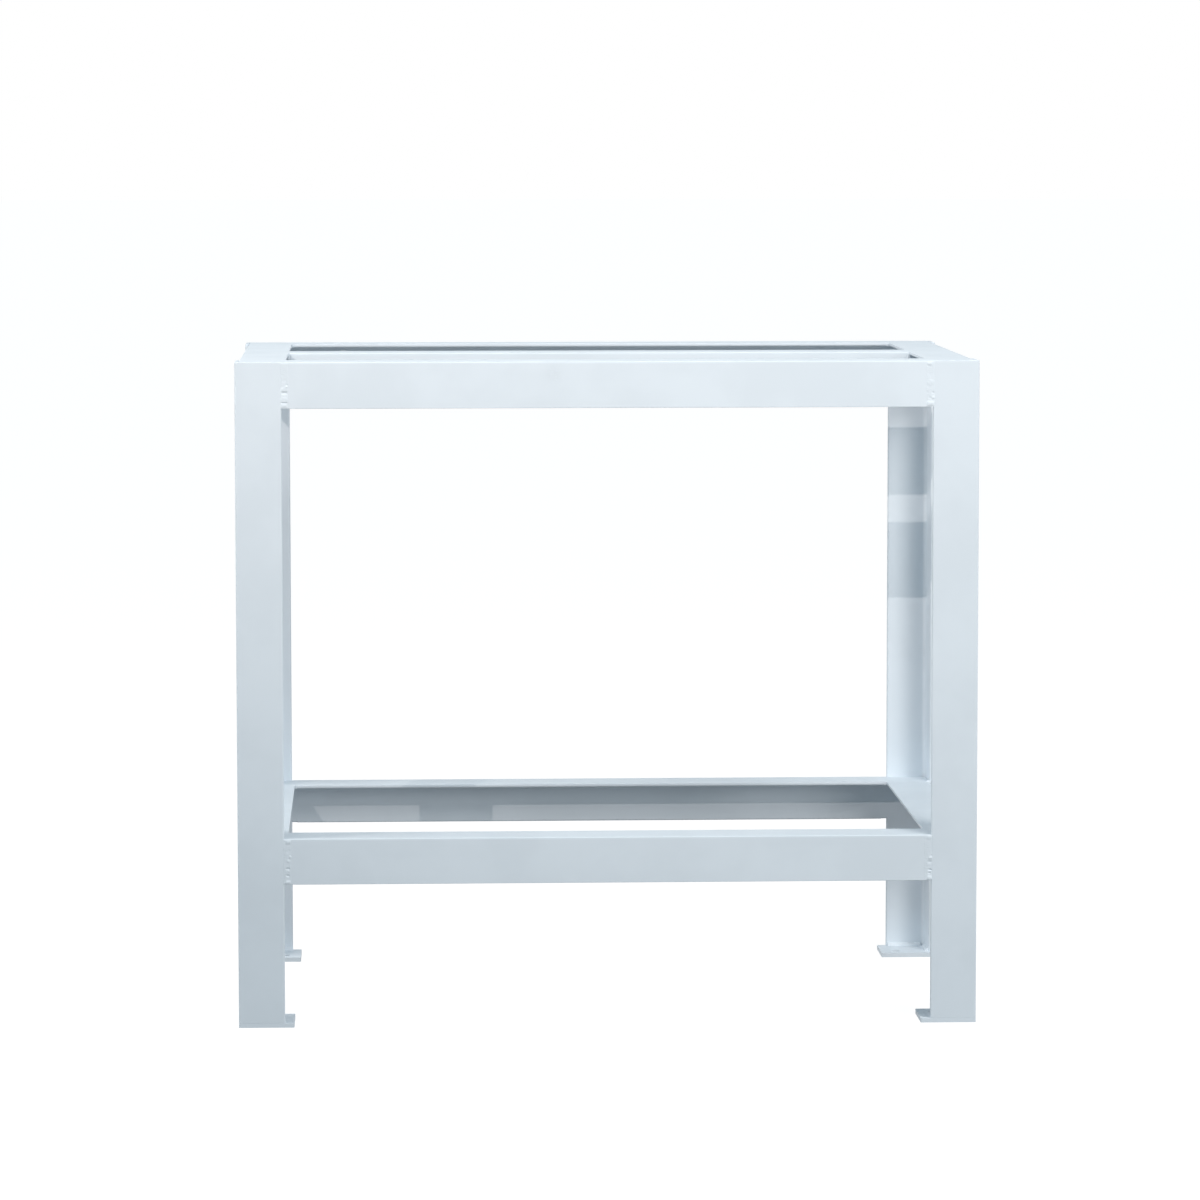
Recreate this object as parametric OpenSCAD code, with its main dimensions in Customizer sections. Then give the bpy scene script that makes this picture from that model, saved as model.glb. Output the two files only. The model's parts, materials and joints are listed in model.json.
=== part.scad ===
// Sieve shaker stand: a bench frame welded from equal angle steel.
// Millimetres. X runs to the right, Y to the rear and Z up.
// The origin is on the floor, at the middle of the stand.

/* [Stand] */
// Width over the legs
stand_w = 800; // [500:10:1200]
// Depth over the legs
stand_d = 500; // [350:10:900]
// Height from the floor to the top face
stand_h = 720; // [450:10:1000]
// Height from the floor to the top face of the lower frame
lower_h = 206; // [120:2:360]

/* [Angle steel] */
// Width of each flange
flange_w = 50; // [40:1:70]
// Thickness of each flange
flange_t = 4; // [3:0.5:6]
// Radius of the fillet inside the angle
root_r = 5; // [2:0.5:8]
// Radius of the inner edge at each toe
toe_r = 2; // [0.5:0.25:2.5]
// Radius along the outer corner
heel_r = 1.5; // [0.5:0.25:2.5]

/* [Cross rail] */
// Distance of the cross rail's middle behind the middle of the stand
cross_y = -10; // [-80:5:80]

/* [Foot plates] */
// Distance by which the foot plate reaches past the leg's flanges
plate_reach = 10; // [4:1:30]
// Thickness of the foot plate
plate_t = 5; // [4:0.5:10]
// Diameter of the anchor hole
anchor_d = 10; // [6:0.5:12]
// Distance of the anchor hole's middle from the plate's inner edges
anchor_inset = 18; // [12:1:24]

/* [Rail hole] */
// Diameter of the hole in the rear rail's top flange
rail_hole_d = 16; // [6:0.5:24]
// Distance of the hole from the stand's left outer face
rail_hole_x = 107; // [80:1:400]

/* [Welds] */
// Gap between butted flanges, filled with weld metal
weld_gap = 2; // [1:0.25:3]
// Width by which a weld cap laps onto each flange beside its seam
cap_lap = 1.25; // [0.5:0.25:3]
// Height of a weld cap above the face
cap_h = 1.8; // [0.6:0.1:3]
// Leg length of a fillet weld
fillet = 4; // [2:0.5:6]

/* [Hidden] */

// Side of a piece: left or front is -1, right or rear is 1
LEFT = -1;
RIGHT = 1;
FRONT = -1;
REAR = 1;

$fn = 48;
eps = 0.01;
// Cutters reach this far past the faces that they cut
over = 1;

steel_colour = [0.88, 0.92, 0.95];
weld_colour = [0.84, 0.88, 0.92];

// The side rails lie inside the legs, so their outer faces sit one flange further in
side_x = stand_w / 2 - flange_t;
// Inner edge of the side rails' top flanges
side_edge_x = side_x - flange_w;
// Edge of the legs' front and rear flanges
leg_edge_x = stand_w / 2 - flange_w;
// Edge of the legs' side flanges
leg_edge_y = stand_d / 2 - flange_w;
// Inner faces of the legs' front and rear flanges
leg_face_y = stand_d / 2 - flange_t;
// The side rails stop short of the fillet inside the leg
side_end_y = leg_face_y - root_r;
// Ends of the front, rear and cross rails
rail_end_x = side_edge_x - weld_gap;
// Side of the square foot plate
plate_w = flange_w + plate_reach;
// Distance of the anchor holes from the middle of the stand
anchor_x = stand_w / 2 - plate_w + anchor_inset;
anchor_y = stand_d / 2 - plate_w + anchor_inset;
// A weld stops this far short of a rounded edge
weld_end = max(heel_r, toe_r);

// Puts a piece drawn for the front left corner into any corner
module corner(side, end) {
    mirror([side == RIGHT ? 1 : 0, 0, 0])
        mirror([0, end == REAR ? 1 : 0, 0])
            children();
}

// What is left of a square when a quarter disc is taken from it
module round_off(r) {
    difference() {
        translate([-over, -over])
            square(r + over);
        translate([r, r])
            circle(r);
    }
}

// Cross-section of the angle, heel at the origin, flanges along +X and +Y
module angle_section() {
    difference() {
        union() {
            square([flange_w, flange_t]);
            square([flange_t, flange_w]);
            translate([flange_t, flange_t])
                difference() {
                    translate([-eps, -eps])
                        square(root_r + eps);
                    translate([root_r, root_r])
                        circle(root_r);
                }
        }
        round_off(heel_r);
        translate([flange_w, flange_t])
            rotate(180)
                round_off(toe_r);
        translate([flange_t, flange_w])
            rotate(180)
                round_off(toe_r);
    }
}

module angle_bar(length) {
    linear_extrude(length)
        angle_section();
}

// Bar along X, heel at the front top edge, flanges running down and to the rear
module bar_along_x(length) {
    translate([-length / 2, 0, 0])
        rotate([0, 90, 0])
            angle_bar(length);
}

// Bar along Y, heel at the left top edge, flanges running down and to the right
module bar_along_y(length) {
    translate([0, -length / 2, 0])
        rotate([-90, 0, 0])
            angle_bar(length);
}

// Corner post, standing on its foot plate with its flanges turned inwards
module leg(side, end) {
    color(steel_colour)
        corner(side, end)
            translate([-stand_w / 2, -stand_d / 2, plate_t])
                angle_bar(stand_h - plate_t);
}

// Front or rear rail of either frame
module end_rail(end, top) {
    color(steel_colour)
        corner(LEFT, end)
            translate([0, -stand_d / 2, top])
                bar_along_x(2 * rail_end_x);
}

// Rear rail of the top frame, with one hole through the middle of its top flange
module drilled_rail() {
    color(steel_colour)
        difference() {
            end_rail(REAR, stand_h);
            translate([rail_hole_x - stand_w / 2, (stand_d - flange_w) / 2, stand_h - flange_t - over])
                cylinder(h = flange_t + 2 * over, d = rail_hole_d);
        }
}

// Side rail of either frame, lapped inside the legs
module side_rail(side, top) {
    color(steel_colour)
        corner(side, FRONT)
            translate([-side_x, 0, top])
                bar_along_y(2 * side_end_y);
}

module cross_rail() {
    color(steel_colour)
        translate([0, cross_y - flange_w / 2, stand_h])
            bar_along_x(2 * rail_end_x);
}

module foot_plate(side, end) {
    color(steel_colour)
        corner(side, end)
            difference() {
                translate([-stand_w / 2, -stand_d / 2, 0])
                    cube([plate_w, plate_w, plate_t]);
                translate([-anchor_x, -anchor_y, -over])
                    cylinder(h = plate_t + 2 * over, d = anchor_d);
            }
}

// Low round cap over a seam of the given width, its flat back on the line y = 0
module seam_cap(width) {
    half_cap = width / 2 + cap_lap;
    cap_r = (half_cap * half_cap + cap_h * cap_h) / (2 * cap_h);
    intersection() {
        translate([0, cap_r - cap_h])
            circle(cap_r);
        translate([-half_cap, -cap_h])
            square([2 * half_cap, cap_h]);
    }
}

// Weld that joins a front or rear rail to the leg and to the side rail beside it
module corner_weld(side, end, top) {
    seam_w = leg_edge_x - rail_end_x;
    color(weld_colour)
        corner(side, end) {
            translate([-(leg_edge_x + rail_end_x) / 2, -stand_d / 2, top - flange_w + weld_end]) {
                linear_extrude(flange_w - 2 * weld_end)
                    seam_cap(seam_w);
                translate([-seam_w / 2, -eps, 0])
                    cube([seam_w, flange_t + eps, flange_w - weld_end]);
            }
            translate([-side_edge_x, -leg_face_y - eps, top - flange_t])
                cube([weld_gap, leg_face_y - leg_edge_y + eps, flange_t]);
            translate([-side_x + root_r, -leg_face_y, top - flange_t])
                cube([side_x - root_r - rail_end_x, root_r, flange_t]);
        }
}

// Right-angled fillet, its corner on the origin and its length along Z
module fillet_weld(length, size = fillet) {
    linear_extrude(length)
        polygon([[0, 0], [size, 0], [0, size]]);
}

// Upright fillets down the edges of the legs' side flanges, on the side rails' outer faces
module side_welds(top) {
    color(weld_colour)
        for (side = [LEFT, RIGHT], end = [FRONT, REAR])
            corner(side, end)
                translate([-side_x, -leg_edge_y, top - flange_w + weld_end])
                    rotate(90)
                        fillet_weld(flange_w - 2 * weld_end, flange_t);
}

// Seams at the ends of the cross rail, each with a short fillet under the side rail
module cross_rail_welds() {
    color(weld_colour)
        for (side = [LEFT, RIGHT])
            corner(side, FRONT)
                translate([-side_edge_x, cross_y - flange_w / 2, stand_h - flange_t]) {
                    translate([0, heel_r, 0])
                        cube([weld_gap, flange_w - heel_r, flange_t]);
                    translate([weld_gap, heel_r, 0])
                        rotate([90, 90, 180])
                            fillet_weld(flange_t - heel_r, flange_t + weld_gap);
                }
}

// Fillets inside the foot of a leg
module foot_welds(side, end) {
    run = flange_w - flange_t - root_r - toe_r;
    color(weld_colour)
        corner(side, end)
            translate([-stand_w / 2 + flange_t, -stand_d / 2 + flange_t, plate_t]) {
                translate([root_r, 0, 0])
                    rotate([90, 0, 90])
                        fillet_weld(run);
                translate([0, root_r + run, 0])
                    rotate([90, 0, 0])
                        fillet_weld(run);
            }
}

leg(LEFT, FRONT);  // leg_front_left
leg(RIGHT, FRONT);  // leg_front_right
leg(LEFT, REAR);  // leg_rear_left
leg(RIGHT, REAR);  // leg_rear_right
end_rail(FRONT, stand_h);  // top_rail_front
drilled_rail();  // top_rail_rear
side_rail(LEFT, stand_h);  // top_rail_left
side_rail(RIGHT, stand_h);  // top_rail_right
cross_rail();  // top_cross_rail
end_rail(FRONT, lower_h);  // lower_rail_front
end_rail(REAR, lower_h);  // lower_rail_rear
side_rail(LEFT, lower_h);  // lower_rail_left
side_rail(RIGHT, lower_h);  // lower_rail_right
foot_plate(LEFT, FRONT);  // foot_plate_front_left
foot_plate(RIGHT, FRONT);  // foot_plate_front_right
foot_plate(LEFT, REAR);  // foot_plate_rear_left
foot_plate(RIGHT, REAR);  // foot_plate_rear_right
corner_weld(LEFT, FRONT, stand_h);  // weld_top_front_left
corner_weld(RIGHT, FRONT, stand_h);  // weld_top_front_right
corner_weld(LEFT, REAR, stand_h);  // weld_top_rear_left
corner_weld(RIGHT, REAR, stand_h);  // weld_top_rear_right
corner_weld(LEFT, FRONT, lower_h);  // weld_lower_front_left
corner_weld(RIGHT, FRONT, lower_h);  // weld_lower_front_right
corner_weld(LEFT, REAR, lower_h);  // weld_lower_rear_left
corner_weld(RIGHT, REAR, lower_h);  // weld_lower_rear_right
side_welds(stand_h);  // weld_top_sides
side_welds(lower_h);  // weld_lower_sides
cross_rail_welds();  // weld_cross_rail
foot_welds(LEFT, FRONT);  // weld_foot_front_left
foot_welds(RIGHT, FRONT);  // weld_foot_front_right
foot_welds(LEFT, REAR);  // weld_foot_rear_left
foot_welds(RIGHT, REAR);  // weld_foot_rear_right
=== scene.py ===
"""Sieve shaker stand: its steel, weld metal and paint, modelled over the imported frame.

The frame gives every size and place. Each bar, plate and weld is modelled over its own node, with
softened edges and uneven beads, and gets a satin powder coat. A pale floor, soft lamps and the
photograph's viewpoint are set around them. Metres throughout, +Z up, +Y to the rear.
"""

import json
import logging
import math
import random
from contextlib import contextmanager
from dataclasses import dataclass, field
from enum import Enum
from functools import cached_property
from itertools import product
from typing import Callable, Iterator

import bmesh
import bpy
from mathutils import Color, Matrix, Vector


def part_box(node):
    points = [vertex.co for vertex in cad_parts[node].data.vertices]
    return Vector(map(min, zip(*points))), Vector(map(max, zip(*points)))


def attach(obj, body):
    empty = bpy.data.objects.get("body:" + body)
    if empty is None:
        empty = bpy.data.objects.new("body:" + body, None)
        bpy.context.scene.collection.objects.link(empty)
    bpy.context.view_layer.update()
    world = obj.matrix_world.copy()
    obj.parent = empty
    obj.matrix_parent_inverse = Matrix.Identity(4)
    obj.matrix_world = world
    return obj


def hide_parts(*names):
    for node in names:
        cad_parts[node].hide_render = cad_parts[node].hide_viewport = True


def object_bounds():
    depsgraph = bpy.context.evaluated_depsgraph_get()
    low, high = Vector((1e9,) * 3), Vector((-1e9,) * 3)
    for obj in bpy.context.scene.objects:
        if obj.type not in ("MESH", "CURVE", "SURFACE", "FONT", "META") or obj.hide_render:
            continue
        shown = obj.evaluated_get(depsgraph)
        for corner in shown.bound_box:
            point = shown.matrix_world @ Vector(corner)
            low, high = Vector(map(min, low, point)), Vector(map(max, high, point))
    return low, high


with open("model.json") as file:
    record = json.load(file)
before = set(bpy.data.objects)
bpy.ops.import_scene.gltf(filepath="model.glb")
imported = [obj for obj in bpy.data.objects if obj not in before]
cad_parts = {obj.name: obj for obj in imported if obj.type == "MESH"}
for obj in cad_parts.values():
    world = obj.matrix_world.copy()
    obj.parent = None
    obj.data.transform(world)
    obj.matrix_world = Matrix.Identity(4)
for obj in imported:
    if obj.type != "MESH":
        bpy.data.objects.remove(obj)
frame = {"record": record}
CAD_LOW, CAD_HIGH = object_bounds()

log = logging.getLogger("sieve_shaker_stand")

MM = 0.001
# A step too small to see, which keeps two faces out of one plane
HAIR = 0.05 * MM
UP = Vector((0, 0, 1))
Triple = tuple[float, float, float]
Tone = tuple[float, float, float, float]
Span = tuple[float, float]
Socket = bpy.types.NodeSocket
Inputs = dict[str | int, float | Triple | Tone | Socket]
# Takes a corner's place and normal, a face's middle and normal, or an edge's middle and direction
Test = Callable[[Vector, Vector], bool]


class Side(Enum):
    """Left or right of the stand, as seen from the front."""

    LEFT = -1
    RIGHT = 1


class End(Enum):
    """Front or rear of the stand."""

    FRONT = -1
    REAR = 1


class Level(Enum):
    """One of the two rectangular frames that join the legs."""

    TOP = "top"
    LOWER = "lower"


class Pick(Enum):
    """What an edit-mode selection is made of."""

    CORNERS = "VERT"
    EDGES = "EDGE"
    FACES = "FACE"


def deselect() -> None:
    """Leaves nothing selected, so that the next operator acts on its own object alone."""
    bpy.ops.object.select_all(action="DESELECT")


def node_name(*words: object) -> str:
    """Joins words and enum members into a node's name, such as leg_front_left."""
    return "_".join(w.name.lower() if isinstance(w, Enum) else str(w) for w in words)


class Bench:
    """A mesh object on the bench, shaped with the modeller's own operators."""

    def __init__(self, obj: bpy.types.Object, name: str) -> None:
        """Takes a mesh object and names it.

        Args:
            obj: The object, just added by an operator.
            name: Its name, and its mesh's name.
        """
        self.obj = obj
        obj.name = name
        obj.data.name = name
        self.take()
        bpy.ops.object.transform_apply()

    @classmethod
    def block(cls, name: str, low: Vector, high: Vector) -> "Bench":
        """Adds a box between two corners.

        Args:
            name: The object's name.
            low: Its lowest corner.
            high: Its highest corner.

        Returns:
            The box, ready to be shaped.
        """
        deselect()
        bpy.ops.mesh.primitive_cube_add(size=1, location=(low + high) / 2, scale=high - low)
        return cls(bpy.context.active_object, name)

    def take(self) -> None:
        """Makes this object the only one selected, and the active one."""
        deselect()
        self.obj.select_set(True)
        bpy.context.view_layer.objects.active = self.obj

    @contextmanager
    def editing(self) -> Iterator[None]:
        """Keeps the object in edit mode for the length of a with block."""
        self.take()
        bpy.ops.object.mode_set(mode="EDIT")
        try:
            yield
        finally:
            bpy.ops.object.mode_set(mode="OBJECT")

    def pick(self, kind: Pick, test: Test) -> bool:
        """Selects what passes a test, in edit mode.

        Args:
            kind: Corners, edges or faces.
            test: Takes the middle of each one, and its normal, or an edge's direction.

        Returns:
            Whether any passed.
        """
        bpy.ops.mesh.select_mode(type=kind.value)
        bpy.ops.mesh.select_all(action="DESELECT")
        mesh = bmesh.from_edit_mesh(self.obj.data)
        if kind is Pick.CORNERS:
            parts = [(v, v.co, v.normal) for v in mesh.verts]
        elif kind is Pick.EDGES:
            ends = [(e, e.verts[0].co, e.verts[1].co) for e in mesh.edges]
            parts = [(e, (a + b) / 2, (b - a).normalized()) for e, a, b in ends]
        else:
            parts = [(f, f.calc_center_median(), f.normal) for f in mesh.faces]
        picked = [part for part, middle, direction in parts if test(middle, direction)]
        for part in picked:
            part.select_set(True)
        mesh.select_flush_mode()
        bmesh.update_edit_mesh(self.obj.data)
        return bool(picked)

    def cut(self, point: Vector, normal: Vector, keep_all: bool = False) -> None:
        """Cuts the whole mesh by a plane, in edit mode.

        Args:
            point: A point on the plane.
            normal: The plane's normal, which points at what is cut off.
            keep_all: Only scores the mesh, and cuts nothing off.
        """
        bpy.ops.mesh.select_all(action="SELECT")
        bpy.ops.mesh.bisect(
            plane_co=point, plane_no=normal, use_fill=not keep_all,
            clear_outer=not keep_all, threshold=1e-7,
        )

    def round_edges(self, radius: float, test: Test, steps: int = 3) -> None:
        """Rounds the edges that pass a test, in edit mode.

        Args:
            radius: The radius, which is also the bevel's offset on a square edge.
            test: Takes an edge's middle and its direction.
            steps: How many faces the round has.
        """
        if self.pick(Pick.EDGES, test):
            bpy.ops.mesh.bevel(offset=radius, segments=steps, profile=0.5, affect="EDGES")

    def split_edges(self, cuts: int, test: Test) -> None:
        """Cuts the edges that pass a test into equal lengths, in edit mode.

        Args:
            cuts: How many cuts each edge gets.
            test: Takes an edge's middle and its direction.
        """
        if self.pick(Pick.EDGES, test):
            bpy.ops.mesh.subdivide(number_cuts=cuts)

    def push(self, test: Test, move: Vector, reach: float = 0) -> None:
        """Moves the corners that pass a test, and what lies near them less and less, in edit mode.

        Args:
            test: Takes a corner's place and its normal.
            move: How far the corners move.
            reach: How far away the move fades to nothing, or 0 for the corners alone.
        """
        if not self.pick(Pick.CORNERS, test):
            return
        fading = dict(
            use_proportional_edit=True, use_proportional_connected=True,
            proportional_edit_falloff="SMOOTH", proportional_size=reach,
        )
        bpy.ops.transform.translate(value=move, **(fading if reach else {}))

    def modify(self, kind: str, **settings: object) -> None:
        """Adds a modifier and applies it.

        Args:
            kind: The modifier's type.
            **settings: Its properties.
        """
        self.take()
        modifier = self.obj.modifiers.new(kind.title(), kind)
        for key, value in settings.items():
            setattr(modifier, key, value)
        bpy.ops.object.modifier_apply(modifier=modifier.name)

    def drill(self, middle: Vector, radius: float, depth: float, edge: float) -> None:
        """Drills an upright round hole through the piece and rounds its two rims.

        Args:
            middle: The middle of the hole.
            radius: Its radius.
            depth: The length of the drill, longer than the hole.
            edge: The radius of the rims.
        """
        deselect()
        bpy.ops.mesh.primitive_cylinder_add(vertices=64, radius=radius, depth=depth, location=middle)
        drill = Bench(bpy.context.active_object, "drill")
        self.modify("BOOLEAN", operation="DIFFERENCE", solver="EXACT", object=drill.obj)
        bpy.data.meshes.remove(drill.obj.data)
        with self.editing():
            self.round_edges(edge, lambda m, way: (
                lies_flat(way) and near((m - middle).xy.length, radius, slack=0.02 * MM)))

    def join(self, *others: "Bench") -> None:
        """Takes other objects into this one.

        Args:
            *others: The objects, which are gone afterwards.
        """
        self.take()
        for other in others:
            other.obj.select_set(True)
        bpy.ops.object.join()

    def place(self, matrix: Matrix) -> None:
        """Moves the mesh into place and leaves the object at the origin.

        Args:
            matrix: The move. A mirrored one turns the faces inside out, and they are turned back.
        """
        self.obj.matrix_world = matrix
        self.take()
        bpy.ops.object.transform_apply()
        with self.editing():
            bpy.ops.mesh.select_all(action="SELECT")
            bpy.ops.mesh.normals_make_consistent()

    def finish(self, node: str, coat: "PowderCoat") -> None:
        """Shades the piece smooth, coats it and puts it in its node's place.

        Args:
            node: The node that it replaces.
            coat: Its finish, which says how sharp an edge has to be to stay sharp.
        """
        self.take()
        bpy.ops.object.shade_smooth_by_angle(angle=math.radians(coat.sharp))
        self.modify("WEIGHTED_NORMAL", keep_sharp=True)
        self.obj.data.materials.clear()
        self.obj.data.materials.append(coat.material)
        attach(self.obj, "root")
        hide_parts(node)
        log.info("%s stands for %s with %d faces", self.obj.name, node, len(self.obj.data.polygons))


def near(a: float, b: float, slack: float = 1e-5) -> bool:
    """Tells whether two lengths are the same, within a hundredth of a millimetre."""
    return abs(a - b) < slack


def along(direction: Vector, axis: int) -> bool:
    """Tells whether a direction runs along an axis, numbered 0, 1 or 2."""
    return abs(direction[axis]) > 0.999


def lies_flat(direction: Vector) -> bool:
    """Tells whether a direction is level."""
    return abs(direction.z) < 0.01


def unit(axis: int, sign: int = 1) -> Vector:
    """Makes a vector of length 1 that runs up an axis, or down it."""
    return Matrix.Identity(3)[axis] * sign


def laid(corner: Vector | Triple, *ways: Vector | Triple) -> Matrix:
    """Works out the move that puts the origin in a corner and turns X, Y and Z into three ways."""
    return Matrix.Translation(corner) @ Matrix(ways).transposed().to_4x4()


def mount(name: str) -> dict:
    """Finds one of the record's mounts."""
    return next(m for m in frame["record"]["mounts"] if m["name"] == name)


def mirrored(side: Side, end: End) -> Matrix:
    """Works out the move from the front left corner, where welds are modelled, to another one."""
    return Matrix.Diagonal((-side.value, -end.value, 1, 1))


class Paint:
    """The node tree of a material or of the world, built one node at a time."""

    def __init__(self, owner: bpy.types.Material | bpy.types.World) -> None:
        """Gives a new material, or a new world, its node tree."""
        owner.use_nodes = True
        self.tree = owner.node_tree

    @cached_property
    def place(self) -> Socket:
        """The object's own coordinates."""
        return self.add("ShaderNodeTexCoord", {}).outputs["Object"]

    def feed(self, node: bpy.types.Node, inputs: Inputs) -> None:
        """Fills a node's inputs.

        Args:
            node: The node.
            inputs: Each input's name or number, with a value for it or an output to link to it.
        """
        for key, value in inputs.items():
            if isinstance(value, Socket):
                self.tree.links.new(value, node.inputs[key])
            else:
                node.inputs[key].default_value = value

    def add(self, kind: str, inputs: Inputs, **settings: object) -> bpy.types.Node:
        """Adds a node.

        Args:
            kind: The node's type.
            inputs: What goes into it, as feed takes it.
            **settings: Its properties.

        Returns:
            The node.
        """
        node = self.tree.nodes.new(kind)
        for key, value in settings.items():
            setattr(node, key, value)
        self.feed(node, inputs)
        return node

    def noise(self, cell: float, detail: float, roughness: float = 0.5) -> Socket:
        """Adds noise in the object's own space.

        Args:
            cell: The size of a blot, in metres.
            detail: How many finer layers it has.
            roughness: How strong the finer layers are.

        Returns:
            The noise's value, from 0 to 1.
        """
        node = self.add("ShaderNodeTexNoise", {
            "Vector": self.place, "Scale": 1 / cell, "Detail": detail, "Roughness": roughness})
        return node.outputs["Fac"]

    def spread(self, value: Socket, low: float, high: float,
               to_low: float = 0.0, to_high: float = 1.0) -> Socket:
        """Maps a value from one range to another, smoothly and within its ends.

        Args:
            value: The value to map.
            low: Where the old range starts.
            high: Where it ends.
            to_low: Where the new range starts.
            to_high: Where it ends.

        Returns:
            The mapped value.
        """
        ends = {"From Min": low, "From Max": high, "To Min": to_low, "To Max": to_high}
        node = self.add("ShaderNodeMapRange", {"Value": value, **ends}, interpolation_type="SMOOTHSTEP")
        return node.outputs["Result"]

    def blend(self, share: Socket, first: Socket | Tone, second: Socket | Tone) -> Socket:
        """Mixes two colours.

        Args:
            share: How much of the second shows.
            first: A colour, or an output that gives one.
            second: The same.

        Returns:
            The mixed colour.
        """
        # The sockets for colours go by number, because those of other types have the same names
        node = self.add("ShaderNodeMix", {"Factor": share, 6: first, 7: second}, data_type="RGBA")
        return node.outputs[2]


def shade(red: int, green: int, blue: int) -> Tone:
    """Turns a display colour, from 0 to 255, into the linear one that a shader takes."""
    return (*Color((red / 255, green / 255, blue / 255)).from_srgb_to_scene_linear(), 1)


def grey(lightness: float) -> Tone:
    """Makes a neutral colour, in linear light."""
    return (lightness, lightness, lightness, 1)


@dataclass(frozen=True)
class Smudge:
    """A faint rubbed mark on the coat."""

    middle: Triple
    reach: float
    darkening: float


@dataclass(frozen=True)
class PowderCoat:
    """Pale satin powder coat: even colour, orange peel, and small changes of shade and gloss."""

    slot: str
    sharp: float
    light: tuple[int, int, int] = (224, 233, 240)
    dull: tuple[int, int, int] = (220, 229, 236)
    rubbed: Tone = (0.25, 0.27, 0.29, 1)
    mottle_cell: float = 90 * MM
    gloss_cell: float = 30 * MM
    smoothest: float = 0.44
    roughest: float = 0.54
    ior: float = 1.45
    specular: float = 0.4
    peel_cell: float = 1.6 * MM
    peel_depth: float = 0.02 * MM
    sway_cell: float = 22 * MM
    sway_depth: float = 0.08 * MM
    grit_cell: float = 0.35 * MM
    grit_depth: float = 0.002 * MM
    smudges: tuple[Smudge, ...] = ()

    @cached_property
    def material(self) -> bpy.types.Material:
        """Builds the coat's material, once.

        Returns:
            The material.
        """
        material = bpy.data.materials.new(self.slot)
        paint = Paint(material)
        blots = paint.noise(self.mottle_cell, detail=3.0, roughness=0.55)
        mottle = paint.spread(blots, low=0.35, high=0.65)
        colour = paint.blend(mottle, shade(*self.light), shade(*self.dull))
        for smudge in self.smudges:
            way = paint.add(
                "ShaderNodeVectorMath", {0: paint.place, 1: smudge.middle}, operation="DISTANCE")
            fade = paint.spread(way.outputs["Value"], 0.0, smudge.reach, smudge.darkening, 0.0)
            blots = paint.noise(smudge.reach / 3, detail=3.0, roughness=0.6)
            patchy = paint.spread(blots, low=0.35, high=0.6)
            share = paint.add("ShaderNodeMath", {0: fade, 1: patchy}, operation="MULTIPLY")
            colour = paint.blend(share.outputs[0], colour, self.rubbed)
        sheen = paint.noise(self.gloss_cell, detail=4.0, roughness=0.6)
        gloss = paint.spread(sheen, low=0.3, high=0.7, to_low=self.smoothest, to_high=self.roughest)
        below: Inputs = {}
        for cell, detail, depth in (
                (self.sway_cell, 1.0, self.sway_depth), (self.peel_cell, 1.0, self.peel_depth),
                (self.grit_cell, 0.0, self.grit_depth)):
            bump = paint.add("ShaderNodeBump", {
                "Strength": 1.0, "Distance": depth, "Height": paint.noise(cell, detail), **below})
            below = {"Normal": bump.outputs["Normal"]}
        paint.feed(paint.tree.nodes["Principled BSDF"], {
            "Base Color": colour, "Roughness": gloss, "IOR": self.ior,
            "Specular IOR Level": self.specular, **below})
        return material


@dataclass(frozen=True)
class AngleSteel:
    """The rolled section: two equal flanges, a fillet between them and rounded edges."""

    flange: float
    thick: float
    root: float = 5 * MM
    toe: float = 2 * MM
    heel: float = 1.5 * MM
    rail_edge: float = 0.5 * MM
    rail_end: float = 0.45 * MM
    post_edge: float = 1.6 * MM
    post_end: float = 1.0 * MM

    def bar(self, name: str, length: float, post: bool = False) -> Bench:
        """Models a bar along Z, its heel on the origin and its flanges along X and Y.

        Args:
            name: The bar's name.
            length: Its length.
            post: It stands on its lower end, which keeps its square edges.

        Returns:
            The bar.
        """
        thick, flange = self.thick, self.flange
        deselect()
        bpy.ops.mesh.primitive_plane_add(size=flange, location=(flange / 2, flange / 2, 0))
        bar = Bench(bpy.context.active_object, name)
        with bar.editing():
            for axis in (0, 1):
                bar.cut(unit(axis) * thick, unit(axis), keep_all=True)
            bar.pick(Pick.FACES, lambda m, _: m.x > thick and m.y > thick)
            bpy.ops.mesh.delete(type="FACE")
            bpy.ops.mesh.select_all(action="SELECT")
            bpy.ops.mesh.dissolve_faces()
            bpy.ops.mesh.select_all(action="SELECT")
            bpy.ops.mesh.extrude_region_move(TRANSFORM_OT_translate={"value": (0, 0, length)})
            bpy.ops.mesh.select_all(action="SELECT")
            bpy.ops.mesh.normals_make_consistent()
            edge = self.post_edge if post else self.rail_edge
            # Each round's radius and faces, and its edge's place in the section
            rounds = (
                (self.root, 8, thick, thick), (self.heel, 4, 0, 0),
                (self.toe, 5, flange, thick), (edge, 3, flange, 0),
                (self.toe, 5, thick, flange), (edge, 3, 0, flange))
            for radius, steps, x, y in rounds:
                bar.round_edges(
                    radius, lambda m, way: along(way, 2) and near(m.x, x) and near(m.y, y), steps)
            bar.round_edges(self.post_end if post else self.rail_end, lambda m, way: (
                lies_flat(way) and (near(m.z, length) or near(m.z, 0) and not post)))
        return bar


@dataclass(frozen=True)
class Run:
    """How a bar lies: its length's axis, and the signs of the box corner where its heel is."""

    axis: int
    heel: tuple[int, int]

    def matrix(self, low: Vector, high: Vector) -> Matrix:
        """Works out the move that lays a bar modelled along Z into a box.

        Args:
            low: The box's lowest corner.
            high: Its highest corner.

        Returns:
            The move.
        """
        heels = dict(zip((i for i in range(3) if i != self.axis), self.heel))
        start = Vector([high[i] if heels.get(i, -1) > 0 else low[i] for i in range(3)])
        length_way = unit(self.axis)
        first, second = (unit(i, -sign) for i, sign in heels.items())
        if first.cross(second).dot(length_way) < 0:
            first, second = second, first
        return laid(start, first, second, length_way)


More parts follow.
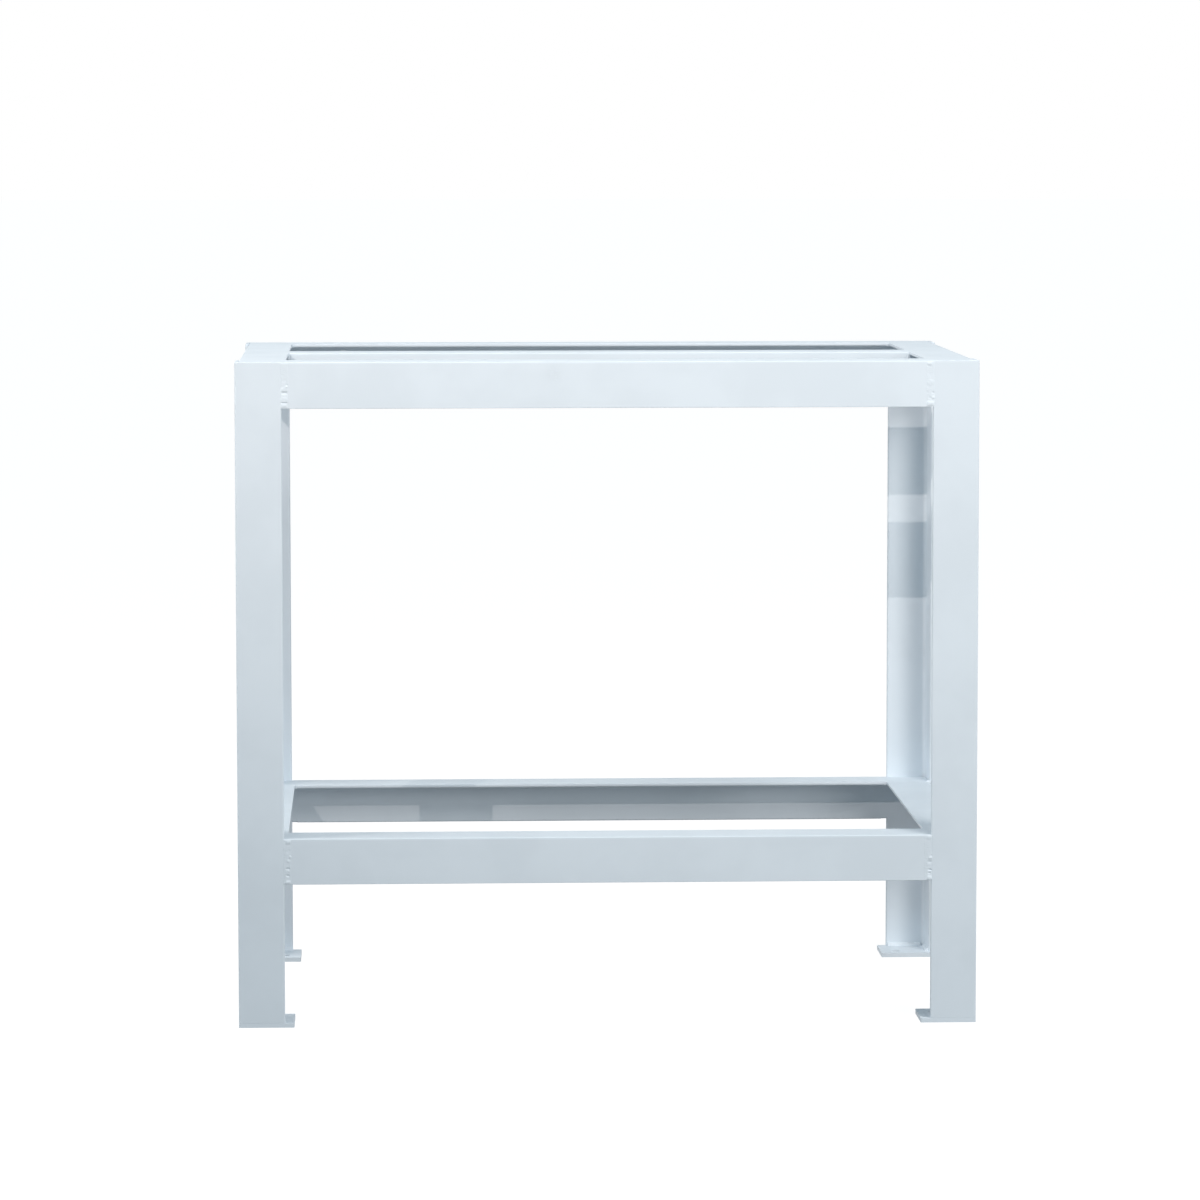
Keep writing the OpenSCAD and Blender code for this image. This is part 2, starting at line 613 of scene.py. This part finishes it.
@dataclass
class SteelWork:
    """The seventeen cut pieces of steel: legs, rails and foot plates."""

    section: AngleSteel
    coat: PowderCoat
    plate_corner: float = 1.2 * MM
    plate_edge: float = 0.35 * MM
    hole_edge: float = 0.5 * MM

    def lay_bar(self, node: str, run: Run) -> Bench:
        """Models a bar over its node.

        Args:
            node: The node's name.
            run: How it lies.

        Returns:
            The bar in its place.
        """
        low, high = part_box(node)
        bar = self.section.bar(f"{node}_steel", high[run.axis] - low[run.axis], post=run.axis == 2)
        bar.place(run.matrix(low, high))
        return bar

    def legs(self) -> None:
        """Models the four legs."""
        for side, end in product(Side, End):
            node = node_name("leg", end, side)
            self.lay_bar(node, Run(2, (side.value, end.value))).finish(node, self.coat)

    def rails(self) -> None:
        """Models the rails of both frames, the hole in the top rear one, and the cross rail."""
        for level in Level:
            for end in End:
                node = node_name(level, "rail", end)
                bar = self.lay_bar(node, Run(0, (end.value, 1)))
                if level is Level.TOP and end is End.REAR:
                    hole = mount("rail_hole")
                    radius = hole["dims"]["r_mm"] * MM
                    bar.drill(Vector(hole["pos_m"]), radius, 4 * self.section.thick, self.hole_edge)
                bar.finish(node, self.coat)
            for side in Side:
                node = node_name(level, "rail", side)
                self.lay_bar(node, Run(1, (side.value, 1))).finish(node, self.coat)
        self.lay_bar("top_cross_rail", Run(0, (-1, 1))).finish("top_cross_rail", self.coat)

    def foot_plates(self) -> None:
        """Models the four foot plates with their anchor holes."""
        sizes = mount("anchor_holes")["dims"]
        radius = sizes["hole_r_mm"] * MM
        for side, end in product(Side, End):
            node = node_name("foot_plate", end, side)
            low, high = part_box(node)
            middle = Vector((
                side.value * sizes["spacing_x_mm"] * MM / 2,
                end.value * sizes["spacing_y_mm"] * MM / 2, high.z / 2))
            plate = Bench.block(f"{node}_steel", low, high)
            with plate.editing():
                plate.round_edges(self.plate_corner, lambda _, way: along(way, 2))
                plate.round_edges(
                    self.plate_edge, lambda m, way: lies_flat(way) and near(m.z, high.z), steps=2)
            plate.drill(middle, radius, 3 * high.z, self.hole_edge)
            plate.finish(node, self.coat)


@dataclass(frozen=True)
class Spot:
    """A lump on a bead, or a pit where its rise is negative.

    Millimetres, up from the bead's lower end and across from its middle towards the rail. The reach is
    how far the lump spreads, and a wide one is stretched across the bead.
    """

    up: float
    across: float
    reach: float
    rise: float
    wide: float = 0.0


@dataclass(frozen=True)
class Bead:
    """How a welder's hand left one bead, and from what height upwards it was ground flat."""

    seed: int
    pitch: float = 2.3 * MM
    ripple: float = 0.22 * MM
    waver: float = 0.5 * MM
    crown: float = 0.45 * MM
    flat: float = 0.16 * MM
    ground: float | None = None
    spots: tuple[Spot, ...] = ()


@dataclass(frozen=True)
class Habit:
    """How much the welder's hand varies, mostly as the ends of random draws.

    Ripples are in parts of the bead's pitch and rise, and lean by a slope. Lumps and pits have their
    places in parts of its length and width, and their reach and rise in millimetres.
    """

    ripple_start: Span = (0.3, 0.7)
    ripple_step: Span = (0.75, 1.25)
    ripple_rise: Span = (0.55, 1.35)
    ripple_lean: Span = (-0.15, 0.15)
    ripple_reach: float = 0.45
    lump_share: float = 0.65
    spot_up: Span = (0.06, 0.94)
    spot_across: Span = (-0.25, 0.25)
    lump_reach: Span = (1.8, 3.2)
    lump_rise: Span = (0.2, 0.6)
    pit_reach: Span = (0.9, 1.5)
    pit_depth: Span = (0.3, 0.8)


@dataclass
class WeldShop:
    """Models beads along Z and lays them over their nodes."""

    coat: PowderCoat
    habit: Habit = Habit()
    cap_depth: float = 2.0 * MM
    cap_back: float = 0.9
    cap_limit: float = 0.98
    cap_cell: float = 0.42 * MM
    cap_nose: float = 1.3 * MM
    cap_grain: float = 0.2 * MM
    fillet_sunk: float = 0.15 * MM
    fillet_cell: float = 0.5 * MM
    fillet_grain: float = 0.25 * MM
    fillet_bevel: float = 0.98
    fillet_skin: float = 0.97
    fillet_hollow: float = 0.3
    fillet_steps: int = 11
    infill_cell: float = 1.5 * MM
    infill_lap: float = 0.7 * MM
    tack_grain: float = 0.8 * MM
    tack_round: float = 0.85
    tack_cuts: int = 11
    grain_cell: float = 2.2 * MM
    # Half a crescent's width, and its bow in metres a square metre
    crescent_half: float = 0.28 * MM
    crescent_bow: float = 55.0
    # A lump's core, in parts of its reach and at least so many millimetres
    core_share: float = 0.3
    least_core: float = 0.4
    sways: int = 5

    def __post_init__(self) -> None:
        """Makes the texture that leaves a bead's skin uneven."""
        self.grain = bpy.data.textures.new("bead_grain", "CLOUDS")
        self.grain.noise_scale = self.grain_cell
        self.grain.noise_depth = 1

    def roughen(self, bead: Bench, strength: float) -> None:
        """Makes a bead's skin uneven.

        Args:
            bead: The bead, with a fine mesh.
            strength: The whole height of the unevenness.
        """
        bead.modify(
            "DISPLACE", texture=self.grain, texture_coords="LOCAL", strength=strength, mid_level=0.5)

    def ripple(self, bead: Bench, hand: Bead, length: float, out: Vector, skin: Test) -> None:
        """Raises the crescents that the welding pool leaves, in edit mode.

        Args:
            bead: The bead along Z, with a fine mesh.
            hand: How it was laid.
            length: Its length.
            out: The way out of the joint.
            skin: Passes the corners that lie on the bead's skin.
        """
        rng = random.Random(hand.seed)
        side_way = UP.cross(out)
        height = rng.uniform(*self.habit.ripple_start) * hand.pitch
        while height < length - hand.pitch / 3:
            lean = rng.uniform(*self.habit.ripple_lean)
            centre = height

            def on_crescent(place: Vector, normal: Vector) -> bool:
                """Passes the skin along a bowed line across the bead."""
                off = place.dot(side_way)
                curve = centre + lean * off + self.crescent_bow * off * off
                return skin(place, normal) and abs(place.z - curve) < self.crescent_half

            rise = hand.ripple * rng.uniform(*self.habit.ripple_rise)
            bead.push(on_crescent, out * rise, hand.pitch * self.habit.ripple_reach)
            height += hand.pitch * rng.uniform(*self.habit.ripple_step)

    def dab(self, bead: Bench, spots: tuple[Spot, ...], out: Vector, skin: Test) -> None:
        """Raises the lumps and sinks the pits of a bead, in edit mode.

        Args:
            bead: The bead along Z, with a fine mesh.
            spots: Its lumps and pits.
            out: The way out of the joint.
            skin: Passes the corners that lie on the bead's skin.
        """
        side_way = UP.cross(out)
        for spot in spots:
            place = side_way * spot.across * MM + UP * spot.up * MM
            core = max(self.least_core, spot.reach * self.core_share) * MM
            half = spot.wide / 2 * MM

            def in_core(corner: Vector, normal: Vector) -> bool:
                """Passes the skin at the middle of the spot."""
                off = corner - place
                aside = max(0.0, abs(off.dot(side_way)) - half)
                return skin(corner, normal) and math.hypot(aside, off.z) < core

            bead.push(in_core, out * spot.rise * MM, spot.reach * MM)

    def random_spots(self, seed: int, length: float, width: float, count: int) -> tuple[Spot, ...]:
        """Chooses the lumps and pits of a bead that the photograph doesn't show.

        Args:
            seed: Fixes the choice.
            length: The bead's length.
            width: Its width.
            count: How many there are.

        Returns:
            The spots, in millimetres.
        """
        rng = random.Random(seed)
        habit = self.habit
        spots = []
        for _ in range(count):
            lump = rng.random() < habit.lump_share
            spots.append(Spot(
                up=rng.uniform(*habit.spot_up) * length / MM,
                across=rng.uniform(*habit.spot_across) * width / MM,
                reach=rng.uniform(*habit.lump_reach) if lump else rng.uniform(*habit.pit_reach),
                rise=rng.uniform(*habit.lump_rise) if lump else -rng.uniform(*habit.pit_depth)))
        return tuple(spots)

    def cap(self, name: str, width: float, length: float, height: float, hand: Bead) -> Bench:
        """Models a butt weld's cap: the steel's face on y = 0, its own towards -Y, its foot on z = 0.

        Args:
            name: The object's name.
            width: Its width.
            length: Its length.
            height: The most that it may stand proud.
            hand: How it was laid.

        Returns:
            The cap.
        """
        out = Vector((0, -1, 0))
        low = Vector((-width / 2, HAIR, 0))
        cap = Bench.block(name, low, Vector((width / 2, self.cap_depth, length)))
        cell, nose = self.cap_cell, self.cap_nose

        def skin(place: Vector, _: Vector) -> bool:
            """Passes the face of the cap."""
            return place.y < self.cap_depth / 2

        def inside(place: Vector, normal: Vector) -> bool:
            """Passes the face within its rim."""
            return skin(place, normal) and abs(place.x) < (width - cell) / 2 and place.z < length - nose

        def crown(place: Vector, normal: Vector) -> bool:
            """Passes the middle line, up to where the cap was ground."""
            return (inside(place, normal) and abs(place.x) < cell
                    and nose < place.z < (hand.ground or length - nose))

        with cap.editing():
            cap.round_edges(nose, lambda m, way: (
                along(way, 0) and near(m.y, low.y) and near(m.z, length)), steps=4)
            cap.split_edges(round(width / cell) - 1, lambda _, way: along(way, 0))
            cap.split_edges(round(length / cell) - 1, lambda _, way: along(way, 2))
            cap.push(inside, out * hand.flat)
            cap.push(crown, out * hand.crown, width / 2)
            self.ripple(cap, hand, length, out, skin)
            self.dab(cap, hand.spots, out, skin)
        self.waver(cap, hand, length)
        self.roughen(cap, self.cap_grain)
        with cap.editing():
            cap.cut(out * height * self.cap_limit, out)
            cap.cut(Vector((0, self.cap_depth * self.cap_back, 0)), -out)
            cap.cut(UP * length, UP)
        return cap

    def waver(self, bead: Bench, hand: Bead, length: float) -> None:
        """Lets a bead wander a little to either side of its seam.

        Args:
            bead: The bead along Z.
            hand: How it was laid.
            length: Its length.
        """
        rng = random.Random(hand.seed + 1)
        with bead.editing():
            for step in range(1, self.sways + 1):
                height = length * step / (self.sways + 1)
                move = Vector((rng.uniform(-1, 1) * hand.waver, 0, 0))
                bead.push(lambda m, _: near(m.z, height, slack=0.3 * MM), move, length / self.sways)

    def fillet(self, name: str, size: float, length: float, hand: Bead) -> Bench:
        """Models a fillet weld: its corner on the Z axis, its legs along X and Y, its foot on z = 0.

        Args:
            name: The object's name.
            size: The length of its legs.
            length: The weld's length.
            hand: How it was laid.

        Returns:
            The weld.
        """
        sunk = self.fillet_sunk
        out = Vector((1, 1, 0)).normalized()
        bead = Bench.block(name, Vector((-sunk, -sunk, 0)), Vector((size, size, length)))

        def skin(place: Vector, _: Vector) -> bool:
            """Passes the slanted face."""
            return place.x + place.y > size * self.fillet_skin and place.x > 0 and place.y > 0

        with bead.editing():
            bead.pick(Pick.EDGES, lambda m, way: along(way, 2) and near(m.x, size) and near(m.y, size))
            bpy.ops.mesh.bevel(
                offset=size * self.fillet_bevel, segments=self.fillet_steps, profile=self.fillet_hollow,
                affect="EDGES")
            bead.split_edges(max(2, round(length / self.fillet_cell) - 1), lambda _, way: along(way, 2))
            self.ripple(bead, hand, length, out, skin)
            self.dab(bead, hand.spots, out, skin)
        self.roughen(bead, self.fillet_grain)
        with bead.editing():
            for way in (unit(0), unit(1)):
                bead.cut(way * size, way)
                bead.cut(-way * sunk / 2, -way)
        return bead

    def infill(self, name: str, low: Vector, high: Vector) -> Bench:
        """Models weld metal ground flush with the faces beside it, a hair below them.

        Args:
            name: The object's name.
            low: Its lowest corner.
            high: Its highest corner, on the ground face.

        Returns:
            The infill.
        """
        fill = Bench.block(name, low, high - UP * HAIR)
        with fill.editing():
            for axis in (0, 1):
                cuts = max(1, round((high[axis] - low[axis]) / self.infill_cell))
                fill.split_edges(cuts, lambda _, way, axis=axis: along(way, axis))
        return fill

    def tack(self, low: Vector, high: Vector) -> Bench:
        """Models a lump of weld metal between two corners.

        Args:
            low: Its lowest corner.
            high: Its highest corner.

        Returns:
            The lump.
        """
        half = (high - low) / 2
        corner = Vector((1, 1, 1)) * MM
        lump = Bench.block("tack", -corner, corner)
        with lump.editing():
            lump.split_edges(self.tack_cuts, lambda *_: True)
        lump.modify("CAST", factor=self.tack_round, cast_type="SPHERE")
        lump.place(Matrix.Translation(low + half) @ Matrix.Diagonal((*(half / MM), 1)))
        self.roughen(lump, self.tack_grain)
        return lump

    def deliver(self, node: str, beads: list[Bench]) -> None:
        """Joins beads into one piece, names it and puts it in its node's place.

        Args:
            node: The node that it replaces.
            beads: The beads, each in its place.
        """
        beads[0].join(*beads[1:])
        beads[0].obj.name = f"{node}_bead"
        beads[0].finish(node, self.coat)


# The beads on the front face, lump by lump as the photograph shows them
PHOTO_CAPS = {
    "weld_top_front_left": Bead(100, ripple=0.05 * MM, crown=0.22 * MM, ground=26 * MM, spots=(
        Spot(25.4, 2.8, 1.1, -1.1), Spot(23.0, 2.8, 1.2, 0.6), Spot(20.6, 0.8, 3.0, 0.25, wide=2.4),
        Spot(16.6, 0.8, 1.7, -0.75, wide=4.4), Spot(9.0, 0.6, 4.0, 0.35, wide=3.0),
        Spot(5.8, 0.0, 1.0, -0.9, wide=4.8), Spot(2.6, 0.0, 2.0, 0.4, wide=2.6),
    )),
    "weld_top_front_right": Bead(101, ripple=0.05 * MM, crown=0.2 * MM, ground=30 * MM, spots=(
        Spot(46.4, 0.8, 2.0, 0.4, wide=2.0), Spot(26.0, 0.4, 3.6, 0.25, wide=1.0),
        Spot(15.4, 3.4, 1.2, -0.4), Spot(15.2, -2.6, 1.5, -0.5), Spot(9.8, -3.0, 1.9, 0.45),
        Spot(9.2, 0.6, 1.4, -0.4, wide=1.0), Spot(3.3, 0.4, 3.0, 0.72, wide=3.0),
    )),
    "weld_lower_front_left": Bead(104, ripple=0.05 * MM, crown=0.2 * MM, spots=(
        Spot(46.0, 1.9, 2.5, 0.5, wide=2.2), Spot(36.0, 1.2, 2.6, -0.2), Spot(30.0, 2.8, 2.0, 0.45),
        Spot(25.2, 1.0, 2.0, 0.4), Spot(17.0, 0.8, 1.3, -0.8, wide=2.0), Spot(14.4, 1.4, 1.2, 0.4),
        Spot(9.4, 0.4, 1.5, -0.8, wide=1.4), Spot(2.0, 0.8, 2.4, 0.85, wide=1.6),
    )),
    "weld_lower_front_right": Bead(105, ripple=0.05 * MM, crown=0.2 * MM, spots=(
        Spot(46.4, -1.6, 2.0, 0.3, wide=2.0), Spot(26.8, -3.8, 1.1, -1.0, wide=0.8),
        Spot(24.2, -2.2, 1.8, 0.45, wide=2.0), Spot(19.8, -1.6, 1.9, -0.6, wide=1.0),
        Spot(11.2, -2.0, 1.1, -1.0, wide=2.2), Spot(7.8, -1.4, 0.9, -0.7, wide=1.8),
        Spot(2.2, -1.6, 2.6, 0.85, wide=1.6),
    )),
}


@dataclass
class CornerWelds:
    """The welds at the eight corners, each from a front or rear rail to its leg and side rail."""

    shop: WeldShop
    lap: float = 1.25 * MM
    lift: float = 0.4 * MM
    web_lift: float = 2 * MM
    web_left: float = 2.2 * MM
    web_right: float = 1.0 * MM
    web_back: float = 0.8
    gusset_inset: float = 5 * MM
    spots: int = 9
    first_seed: int = 100

    def build(self) -> None:
        """Models every corner's weld."""
        for number, (level, end, side) in enumerate(product(Level, End, Side)):
            self.corner(level, end, side, self.first_seed + number)

    def corner(self, level: Level, end: End, side: Side, seed: int) -> None:
        """Models one corner's weld: the butt bead on the face and the flush seams on the top.

        Args:
            level: The frame that it belongs to.
            end: Front or rear.
            side: Left or right.
            seed: Fixes the bead's unevenness.
        """
        node = node_name("weld", level, end, side)
        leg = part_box(node_name("leg", end, Side.LEFT))
        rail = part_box(node_name(level, "rail", end))
        side_low, side_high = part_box(node_name(level, "rail", Side.LEFT))
        face = max(abs(corner.y) for corner in rail)
        proud = max(abs(corner.y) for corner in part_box(node)) - face
        foot, top = rail[0].z, rail[1].z
        seam_low, seam_high = leg[1].x, rail[0].x
        width = seam_high - seam_low + 2 * self.lap
        length = top - foot - self.lift - HAIR
        spots = self.shop.random_spots(seed, length, width, self.spots)
        hand = PHOTO_CAPS.get(node) or Bead(seed, ripple=0.12 * MM, spots=spots)
        weld = self.shop.cap(f"{node}_bead", width, length, proud, hand)
        weld.place(Matrix.Translation(((seam_low + seam_high) / 2, -face, foot + self.lift)))
        thick = side_low.x - leg[0].x
        lap = self.shop.infill_lap
        back = -face + self.shop.cap_depth * self.web_back
        web = self.shop.infill(
            "web", Vector((seam_low - self.web_left, back, foot + self.web_lift)),
            Vector((seam_high + self.web_right, -face + thick - HAIR, top - HAIR)))
        seam = self.shop.infill(
            "seam", Vector((side_high.x - lap, -face + thick / 2, top - thick)),
            Vector((seam_high + lap, -min(abs(corner.y) for corner in leg), top)))
        gusset = self.shop.infill(
            "gusset", Vector((side_low.x + self.gusset_inset, -face + thick - lap, top - thick)),
            Vector((side_high.x - lap, side_low.y + lap, top)))
        weld.join(web, seam, gusset)
        weld.place(mirrored(side, end))
        weld.finish(node, self.shop.coat)


@dataclass
class SideWelds:
    """The upright fillets where the side rails lap the legs."""

    shop: WeldShop
    inset: float = 2 * MM
    blob: float = 3.6 * MM
    blob_back: float = 1.5 * MM
    blob_drop: float = 3.0 * MM
    blob_above: float = 0.4
    spots: int = 5
    top_seed: int = 203
    lower_seed: int = 205

    def build(self) -> None:
        """Models each frame's four fillets, down the edges of the legs' side flanges, as one piece."""
        leg_low, leg_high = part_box(node_name("leg", End.FRONT, Side.LEFT))
        for level in Level:
            rail_low, rail_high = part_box(node_name(level, "rail", Side.LEFT))
            size = rail_low.x - leg_low.x
            length = rail_high.z - rail_low.z - 2 * self.inset
            upper = length + self.inset
            place = laid(
                (rail_low.x, leg_high.y, rail_low.z + self.inset), (0, 1, 0), (-1, 0, 0), UP)
            seed = self.top_seed if level is Level.TOP else self.lower_seed
            beads = []
            for side, end in product(Side, End):
                spots = self.shop.random_spots(seed, length, size, self.spots)
                bead = self.shop.fillet("upright", size, length, Bead(seed, spots=spots))
                if level is Level.LOWER:
                    bead.join(self.shop.tack(
                        Vector((-self.blob_back, -self.blob, upper - self.blob_drop)),
                        Vector((self.blob, self.blob_back, upper + self.blob * self.blob_above))))
                bead.place(mirrored(side, end) @ place)
                beads.append(bead)
                seed += 10
            self.shop.deliver(node_name("weld", level, "sides"), beads)


@dataclass
class FootWelds:
    """The fillets inside the foot of each leg."""

    shop: WeldShop
    section: AngleSteel
    size: float = 4 * MM
    spots: int = 5
    first_seed: int = 300

    def build(self) -> None:
        """Models the two fillets of each foot, on the inner faces of both flanges."""
        steel = self.section
        leg_low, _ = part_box(node_name("leg", End.FRONT, Side.LEFT))
        run = steel.flange - steel.thick - steel.root - steel.toe
        x, y, z = leg_low + Vector((steel.thick, steel.thick, 0))
        start = steel.root
        places = (
            laid((x + start, y, z), (0, 1, 0), UP, (1, 0, 0)),
            laid((x, y + start + run, z), (1, 0, 0), UP, (0, -1, 0)))
        for number, (side, end) in enumerate(product(Side, End)):
            beads = []
            for seed, place in enumerate(places, self.first_seed + 10 * number):
                spots = self.shop.random_spots(seed, run, self.size, self.spots)
                bead = self.shop.fillet("foot", self.size, run, Bead(seed, spots=spots))
                bead.place(place)
                bead.place(mirrored(side, end))
                beads.append(bead)
            self.shop.deliver(node_name("weld_foot", end, side), beads)


@dataclass
class CrossRailWelds:
    """The seams at the ends of the cross rail."""

    shop: WeldShop
    section: AngleSteel
    lumps: dict[Side, float] = field(default_factory=lambda: {Side.LEFT: 2.4 * MM, Side.RIGHT: 3.4 * MM})
    lump_lap: float = 0.3
    tallness: float = 2.6
    sunk: float = 1.1 * MM
    middle_seed: int = 400

    def build(self) -> None:
        """Models both ends, flush on the top, each with a fillet under the side rail."""
        rail_low, rail_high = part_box("top_cross_rail")
        _, side_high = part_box("top_rail_left")
        steel = self.section
        lap = self.shop.infill_lap
        front = rail_low.y + steel.heel
        under = rail_high.z - steel.thick
        size = rail_low.x - side_high.x + steel.thick
        top = rail_high.z - self.sunk
        ends = []
        for side in Side:
            seam = self.shop.infill(
                "seam", Vector((side_high.x - lap, front, under)),
                Vector((rail_low.x + lap, rail_high.y, rail_high.z)))
            hand = Bead(self.middle_seed + side.value, ripple=0.0)
            fillet = self.shop.fillet("gusset", size, steel.thick - steel.heel, hand)
            fillet.place(laid((rail_low.x, front, under), -UP, (-1, 0, 0), (0, 1, 0)))
            wide = self.lumps[side]
            outer = side_high.x - wide * self.lump_lap
            lump = self.shop.tack(
                Vector((outer, rail_low.y - wide / 2, top - wide * self.tallness)),
                Vector((side_high.x + wide * (1 - self.lump_lap), rail_low.y + wide / 2, top)))
            seam.join(fillet, lump)
            seam.place(mirrored(side, End.FRONT))
            ends.append(seam)
        self.shop.deliver("weld_cross_rail", ends)


@dataclass(frozen=True)
class Viewpoint:
    """Where the photograph was taken from, worked out from the stand's own edges."""

    place: Triple = (-0.2410, -5.7680, 0.9752)
    focal_pixels: float = 5153.3
    picture_pixels: float = 1200.0
    sensor_mm: float = 36.0
    pitch: float = -0.09246
    yaw: float = -0.04204
    roll: float = 0.00077

    def camera(self) -> None:
        """Adds the camera and makes it the scene's."""
        deselect()
        bpy.ops.object.camera_add()
        camera = bpy.context.active_object
        camera.name = "viewpoint"
        camera.data.sensor_width = self.sensor_mm
        camera.data.lens = self.sensor_mm * self.focal_pixels / self.picture_pixels
        camera.data.clip_end = 100
        turn = (Matrix.Rotation(self.yaw, 4, "Z") @ Matrix.Rotation(self.pitch, 4, "X")
                @ Matrix.Rotation(self.roll, 4, "Y") @ Matrix.Rotation(math.pi / 2, 4, "X"))
        camera.matrix_world = Matrix.Translation(self.place) @ turn
        bpy.context.scene.camera = camera


@dataclass
class Studio:
    """The pale floor, the lamps and the white surroundings."""

    key_place: Triple = (-1.46, -2.58, 1.854)
    key_aim: Triple = (-0.10, 0.0, 1.05)
    key_watts: float = 123.0
    key_size: float = 0.005
    key_cone: float = 40.0
    key_colour: Triple = (1.0, 0.89, 0.82)
    fills: tuple[tuple[Triple, float], ...] = (
        ((-3.0, -0.6, 2.4), 63.0), ((1.6, -2.2, 2.6), 57.0), ((2.6, -3.4, 1.2), 37.0))
    fill_aim: Triple = (0, 0, 0.4)
    fill_size: float = 1.4
    fill_colour: Triple = (1.0, 0.96, 0.93)
    ambient: float = 0.334
    ambient_colour: Triple = (0.75, 1.0, 1.16)
    floor_radius: float = 60.0
    floor_drop: float = 0.2 * MM
    floor_tone: float = 0.8
    floor_bounce: float = 0.25
    floor_glow: float = 1.16
    floor_share: float = 0.82

    def light(self) -> None:
        """Adds the small key lamp and the three soft fills."""
        key = self.lamp("SPOT", self.key_place, self.key_aim, self.key_watts)
        key.name = "key"
        key.color = self.key_colour
        key.shadow_soft_size = self.key_size
        key.spot_size = math.radians(self.key_cone)
        key.spot_blend = 1.0
        for place, watts in self.fills:
            fill = self.lamp("AREA", place, self.fill_aim, watts)
            fill.size = self.fill_size
            fill.color = self.fill_colour

    def lamp(self, kind: str, place: Triple, aim: Triple, watts: float) -> bpy.types.Light:
        """Adds a lamp that points at a place.

        Args:
            kind: Its type.
            place: Where it stands.
            aim: What it points at.
            watts: Its power.

        Returns:
            The lamp's settings.
        """
        deselect()
        bpy.ops.object.light_add(type=kind, location=place)
        lamp = bpy.context.active_object
        lamp.data.energy = watts
        lamp.rotation_euler = (Vector(aim) - Vector(place)).to_track_quat("-Z", "Y").to_euler()
        return lamp.data

    def backdrop_share(self, paint: Paint) -> Socket:
        """Adds nodes that are 1 for what the camera, a gloss or glass sees, and 0 for lighting.

        Args:
            paint: The node tree in the making.

        Returns:
            The share, from 0 to 1.
        """
        path = paint.add("ShaderNodeLightPath", {})
        share = path.outputs["Is Camera Ray"]
        for ray in ("Is Glossy Ray", "Is Transmission Ray"):
            most = paint.add("ShaderNodeMath", {0: share, 1: path.outputs[ray]}, operation="MAXIMUM")
            share = most.outputs[0]
        return share

    def surroundings(self) -> None:
        """Sets a world that lights softly and looks white."""
        world = bpy.data.worlds.new("surroundings")
        bpy.context.scene.world = world
        paint = Paint(world)
        light = paint.tree.nodes["Background"]
        paint.feed(light, {"Color": (*self.ambient_colour, 1), "Strength": self.ambient})
        white = paint.add("ShaderNodeBackground", {"Color": grey(1)})
        mix = paint.add("ShaderNodeMixShader", {
            0: self.backdrop_share(paint), 1: light.outputs[0], 2: white.outputs[0]})
        paint.feed(paint.tree.nodes["World Output"], {"Surface": mix.outputs[0]})

    def floor(self) -> None:
        """Adds a wide pale floor that keeps a soft shadow."""
        deselect()
        bpy.ops.mesh.primitive_circle_add(
            vertices=96, radius=self.floor_radius, fill_type="NGON", location=(0, 0, -self.floor_drop))
        floor = bpy.context.active_object
        floor.name = "floor"
        material = bpy.data.materials.new("pale_floor")
        paint = Paint(material)
        seen = self.backdrop_share(paint)
        surface = paint.tree.nodes["Principled BSDF"]
        paint.feed(surface, {
            "Base Color": paint.blend(seen, grey(self.floor_bounce), grey(self.floor_tone)),
            "Roughness": 0.9, "Specular IOR Level": 0.0})
        glow = paint.add("ShaderNodeEmission", {"Strength": self.floor_glow})
        share = paint.add("ShaderNodeMath", {0: seen, 1: self.floor_share}, operation="MULTIPLY")
        mix = paint.add("ShaderNodeMixShader", {
            0: share.outputs[0], 1: surface.outputs[0], 2: glow.outputs[0]})
        paint.feed(paint.tree.nodes["Material Output"], {"Surface": mix.outputs[0]})
        floor.data.materials.append(material)


def main() -> None:
    """Builds the stand's pieces in order, then the studio and the camera."""
    logging.basicConfig(level=logging.INFO, format="%(name)s: %(message)s")
    leg_low, leg_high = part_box("leg_front_left")
    side_low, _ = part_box("top_rail_left")
    section = AngleSteel(flange=leg_high.x - leg_low.x, thick=side_low.x - leg_low.x)
    smudge = Smudge(middle=(-0.058, CAD_LOW.y, 0.706), reach=14 * MM, darkening=0.06)
    steel = SteelWork(section, PowderCoat("powder_coat", sharp=40, smudges=(smudge,)))
    steel.legs()
    steel.rails()
    steel.foot_plates()
    shop = WeldShop(PowderCoat("painted_weld", sharp=50, peel_depth=0.03 * MM))
    CornerWelds(shop).build()
    SideWelds(shop).build()
    FootWelds(shop, section).build()
    CrossRailWelds(shop, section).build()
    studio = Studio()
    studio.light()
    studio.surroundings()
    studio.floor()
    Viewpoint().camera()
    bpy.context.scene.view_settings.view_transform = "Standard"


if __name__ == "__main__":
    main()
